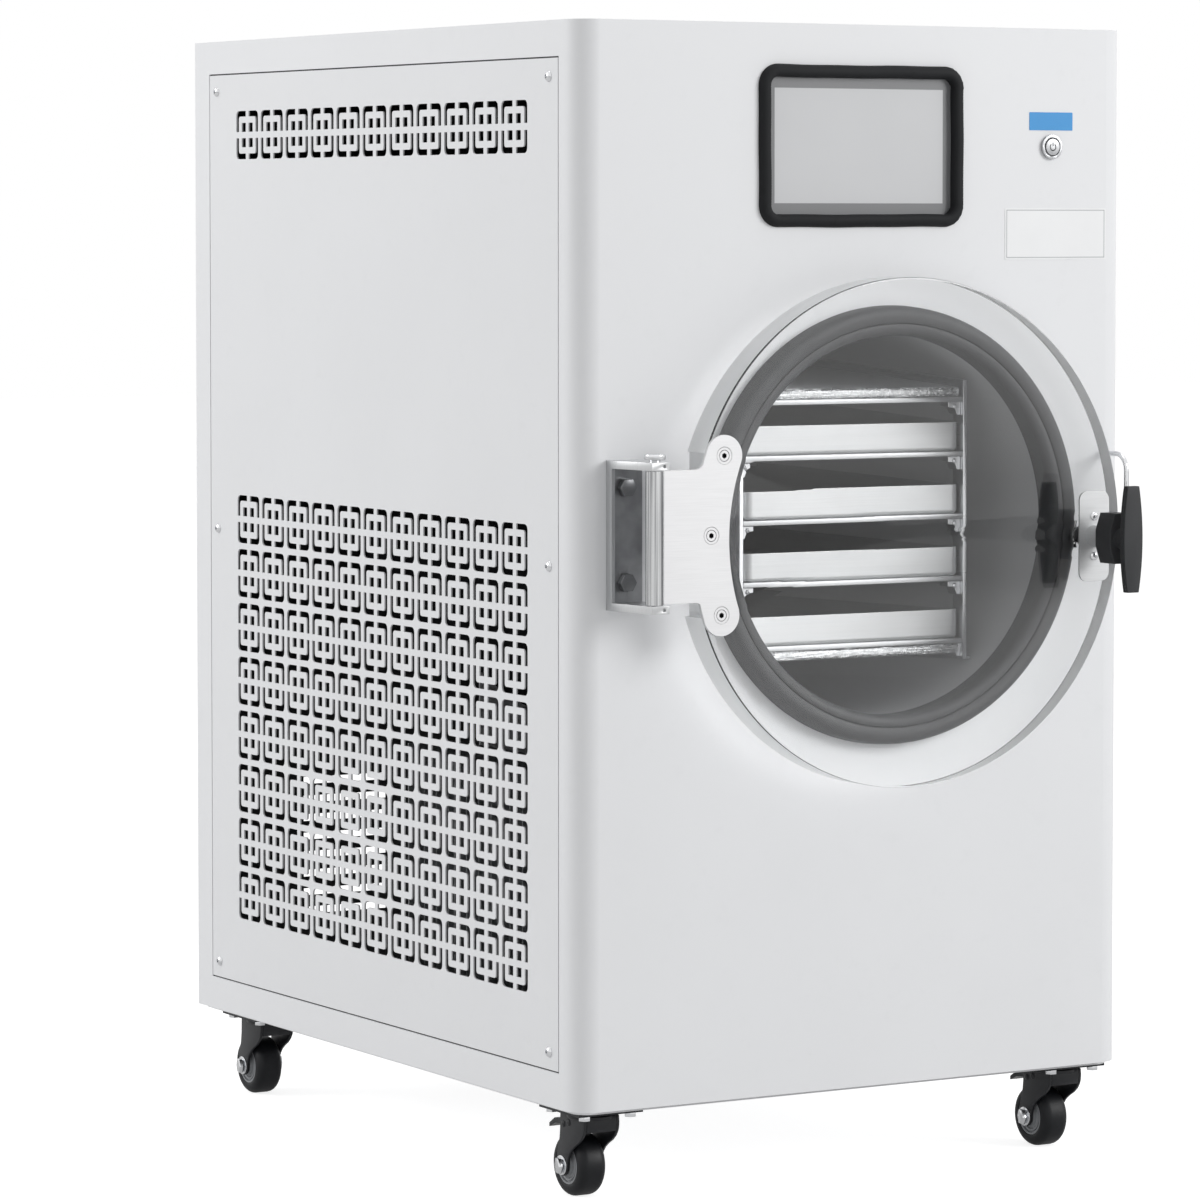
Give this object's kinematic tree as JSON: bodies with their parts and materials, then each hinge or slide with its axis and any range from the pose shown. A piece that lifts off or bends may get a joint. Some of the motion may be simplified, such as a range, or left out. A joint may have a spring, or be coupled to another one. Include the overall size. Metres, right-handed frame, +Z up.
{
  "type": "freeze dryer",
  "caption": "Floor-standing freeze dryer on casters with a clear swinging door, a round steel chamber, a rack of trays, a touch display and vented side panels.",
  "frame": {"origin": "on the floor under the middle of the whole machine", "axes": "+X to the right seen from the front, +Y to the back, +Z up; the door faces -Y"},
  "size_m": [0.5052, 0.781, 0.888],
  "materials": {
    "cabinet_paint": "satin light grey powder coat",
    "panel_paint": "satin light grey powder coat",
    "pan_steel": "satin grey coat",
    "steel": "brushed",
    "bright_steel": "polished",
    "zinc": "zinc plated",
    "chamber_steel": "satin, in shade",
    "gasket_rubber": "matte grey silicone",
    "foam": "foam with a cut skin",
    "copper": "drawn copper",
    "rack_metal": "satin",
    "foil": "wrinkled foil",
    "heater_mat": "matte",
    "tray_steel": "satin",
    "trim_rubber": "matte ribbed",
    "screen_body": "fine",
    "screen_glass": "glossy",
    "label_film": "glossy film",
    "black_paint": "satin black",
    "black_plastic": "fine grain",
    "black_rubber": "matte",
    "fins": "mill",
    "galvanised": "galvanised",
    "valve_brass": "machined",
    "lever_paint": "gloss red",
    "clear_acrylic": "polished clear",
    "wheel_tyre": "smooth hard tread",
    "fan_metal": "satin",
    "button_metal": "satin"
  },
  "bodies": {
    "cabinet": {"cabinet_shell": "cabinet_paint", "top_cover": "cabinet_paint", "base_pan": "pan_steel", "rear_panel": "panel_paint", "left_panel": "panel_paint", "right_panel": "panel_paint", "panel_screws": "bright_steel", "chamber": "chamber_steel", "chamber_gasket": "gasket_rubber", "chamber_jacket": "foam", "evaporator_coil": "copper", "rack_frame": "rack_metal", "shelf_plates": "rack_metal", "rack_insulation": "foil", "shelf_heaters": "heater_mat", "tray_1": "tray_steel", "tray_2": "tray_steel", "tray_3": "tray_steel", "tray_4": "tray_steel", "hinge_bracket": "steel", "hinge_bolts": "zinc", "hinge_pin": "bright_steel", "display_trim": "trim_rubber", "display_module": "screen_body", "display_glass": "screen_glass", "power_switch_body": "bright_steel", "label_plates": "label_film", "compressor": "black_paint", "compressor_mounts": "black_rubber", "condenser": "fins", "fan_shroud": "black_paint", "refrigerant_pipes": "copper", "filter_drier": "copper", "control_box": "galvanised", "equipment_shelf": "galvanised", "power_inlet": "black_plastic", "vacuum_port": "steel", "drain_valve": "valve_brass", "caster_plates": "black_paint", "caster_bolts": "zinc"},
    "door": {"door_disc": "clear_acrylic", "hinge_leaf": "steel", "door_screws": "bright_steel", "latch_plate": "steel"},
    "latch": {"latch_handle": "black_plastic", "latch_shaft": "black_paint"},
    "hook": {"catch_hook": "bright_steel"},
    "power_button": {"power_button": "button_metal"},
    "fan": {"fan_rotor": "fan_metal"},
    "drain_lever": {"drain_lever": "lever_paint"},
    "caster_fork_1": {"fork_1": "black_paint"},
    "caster_wheel_1": {"wheel_1": "wheel_tyre"},
    "caster_fork_2": {"fork_2": "black_paint"},
    "caster_wheel_2": {"wheel_2": "wheel_tyre"},
    "caster_fork_3": {"fork_3": "black_paint"},
    "caster_wheel_3": {"wheel_3": "wheel_tyre"},
    "caster_fork_4": {"fork_4": "black_paint"},
    "caster_wheel_4": {"wheel_4": "wheel_tyre"},
    "brake_1": {"brake_pedal_1": "black_paint"},
    "brake_2": {"brake_pedal_2": "black_paint"}
  },
  "joints": [
    {"name": "door_hinge", "type": "hinge", "parent": "cabinet", "child": "door", "pos_m": [-0.2115, -0.3445, 0.505], "axis": [0, 0, -1], "range_deg": [0, 165]},
    {"name": "latch_turn", "type": "hinge", "parent": "door", "child": "latch", "pos_m": [0.19, -0.3565, 0.494], "axis": [0, 1, 0], "range_deg": [0, 90]},
    {"name": "hook_swing", "type": "hinge", "parent": "cabinet", "child": "hook", "pos_m": [0.2186, -0.2965, 0.557], "axis": [0, 1, 0], "range_deg": [-90, 28]},
    {"name": "power_button_press", "type": "slide", "parent": "cabinet", "child": "power_button", "axis": [0, 1, 0], "range_m": [0, 0.001], "stiffness_N_per_m": 400},
    {"name": "fan_spin", "type": "hinge", "parent": "cabinet", "child": "fan", "pos_m": [-0.166, -0.0645, 0.201], "axis": [1, 0, 0], "continuous": true},
    {"name": "drain_lever_turn", "type": "hinge", "parent": "cabinet", "child": "drain_lever", "pos_m": [0.02, 0.3635, 0.3086], "axis": [0, 0, 1], "range_deg": [0, 90]},
    {"name": "caster_swivel_1", "type": "hinge", "parent": "cabinet", "child": "caster_fork_1", "pos_m": [-0.2135, -0.2545, 0.065], "axis": [0, 0, 1], "continuous": true},
    {"name": "wheel_spin_1", "type": "hinge", "parent": "caster_fork_1", "child": "caster_wheel_1", "pos_m": [-0.2135, -0.237, 0.024], "axis": [1, 0, 0], "continuous": true},
    {"name": "caster_swivel_2", "type": "hinge", "parent": "cabinet", "child": "caster_fork_2", "pos_m": [0.2135, -0.2545, 0.065], "axis": [0, 0, 1], "continuous": true},
    {"name": "wheel_spin_2", "type": "hinge", "parent": "caster_fork_2", "child": "caster_wheel_2", "pos_m": [0.2135, -0.237, 0.024], "axis": [1, 0, 0], "continuous": true},
    {"name": "caster_swivel_3", "type": "hinge", "parent": "cabinet", "child": "caster_fork_3", "pos_m": [-0.2135, 0.2865, 0.065], "axis": [0, 0, 1], "continuous": true},
    {"name": "wheel_spin_3", "type": "hinge", "parent": "caster_fork_3", "child": "caster_wheel_3", "pos_m": [-0.2135, 0.304, 0.024], "axis": [1, 0, 0], "continuous": true},
    {"name": "caster_swivel_4", "type": "hinge", "parent": "cabinet", "child": "caster_fork_4", "pos_m": [0.2135, 0.2865, 0.065], "axis": [0, 0, 1], "continuous": true},
    {"name": "wheel_spin_4", "type": "hinge", "parent": "caster_fork_4", "child": "caster_wheel_4", "pos_m": [0.2135, 0.304, 0.024], "axis": [1, 0, 0], "continuous": true},
    {"name": "brake_press_1", "type": "hinge", "parent": "caster_fork_1", "child": "brake_1", "pos_m": [-0.2135, -0.2395, 0.056], "axis": [-1, 0, 0], "range_deg": [0, 25]},
    {"name": "brake_press_2", "type": "hinge", "parent": "caster_fork_2", "child": "brake_2", "pos_m": [0.2135, -0.2395, 0.056], "axis": [-1, 0, 0], "range_deg": [0, 25]}
  ]
}
